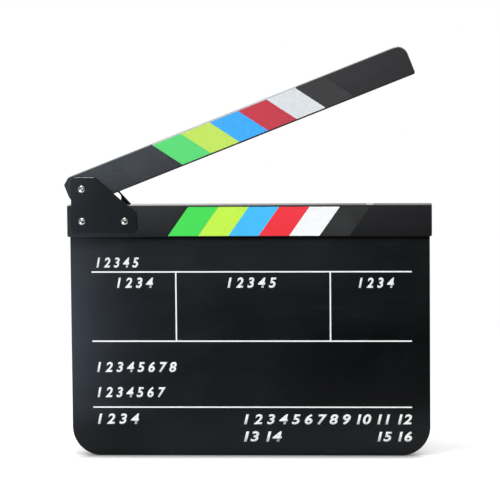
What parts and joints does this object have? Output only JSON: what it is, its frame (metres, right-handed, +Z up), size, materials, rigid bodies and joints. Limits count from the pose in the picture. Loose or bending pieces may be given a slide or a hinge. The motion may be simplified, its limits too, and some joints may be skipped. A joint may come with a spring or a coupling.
{
  "type": "clapperboard",
  "caption": "Hand-held film clapperboard: black acrylic writing board under a striped stick, with a striped clapper stick hinged above it between bolted plates.",
  "frame": {"origin": "middle of the board's lower edge, half way through the board's thickness", "axes": "+Z up the board, +X towards the free ends of the sticks, -Y out of the written face"},
  "size_m": [0.3021, 0.0253, 0.3377],
  "materials": {
    "board_acrylic": "satin black acrylic sheet",
    "stick_paint": "wood under satin black paint",
    "hinge_paint": "fine black powder coat",
    "bolt_steel": "bright nickel plate",
    "zinc_steel": "zinc plate",
    "nylon": "natural nylon",
    "bush_brass": "turned",
    "magnet_nickel": "nickel plate",
    "vinyl_green": "semi-gloss film",
    "vinyl_yellow": "semi-gloss film",
    "vinyl_blue": "semi-gloss film",
    "vinyl_red": "semi-gloss film",
    "vinyl_white": "semi-gloss film",
    "vinyl_black": "semi-gloss film"
  },
  "bodies": {
    "slate": {"slate_board": "board_acrylic", "lower_clapstick": "stick_paint", "lower_magnet": "magnet_nickel", "front_hinge_plate": "hinge_paint", "rear_hinge_plate": "hinge_paint", "pivot_bolt": "bolt_steel", "pivot_washer": "zinc_steel", "pivot_locknut": "zinc_steel", "pivot_locknut_insert": "nylon", "left_fixing_bolt": "bolt_steel", "left_fixing_washer": "zinc_steel", "left_fixing_locknut": "zinc_steel", "left_fixing_locknut_insert": "nylon", "right_fixing_bolt": "bolt_steel", "right_fixing_washer": "zinc_steel", "right_fixing_locknut": "zinc_steel", "right_fixing_locknut_insert": "nylon", "lower_green_stripe": "vinyl_green", "lower_yellow_stripe": "vinyl_yellow", "lower_blue_stripe": "vinyl_blue", "lower_red_stripe": "vinyl_red", "lower_white_stripe": "vinyl_white", "lower_black_stripe": "vinyl_black"},
    "clapper": {"upper_clapstick": "stick_paint", "upper_magnet": "magnet_nickel", "pivot_bush": "bush_brass", "front_friction_washer": "nylon", "rear_friction_washer": "nylon", "upper_green_stripe": "vinyl_green", "upper_yellow_stripe": "vinyl_yellow", "upper_blue_stripe": "vinyl_blue", "upper_red_stripe": "vinyl_red", "upper_white_stripe": "vinyl_white", "upper_black_stripe": "vinyl_black"}
  },
  "joints": [
    {"name": "clapper_pivot", "type": "hinge", "parent": "slate", "child": "clapper", "pos_m": [-0.1377, 0, 0.2225], "axis": [0, -1, 0], "range_deg": [-21.5, 78.5]}
  ]
}
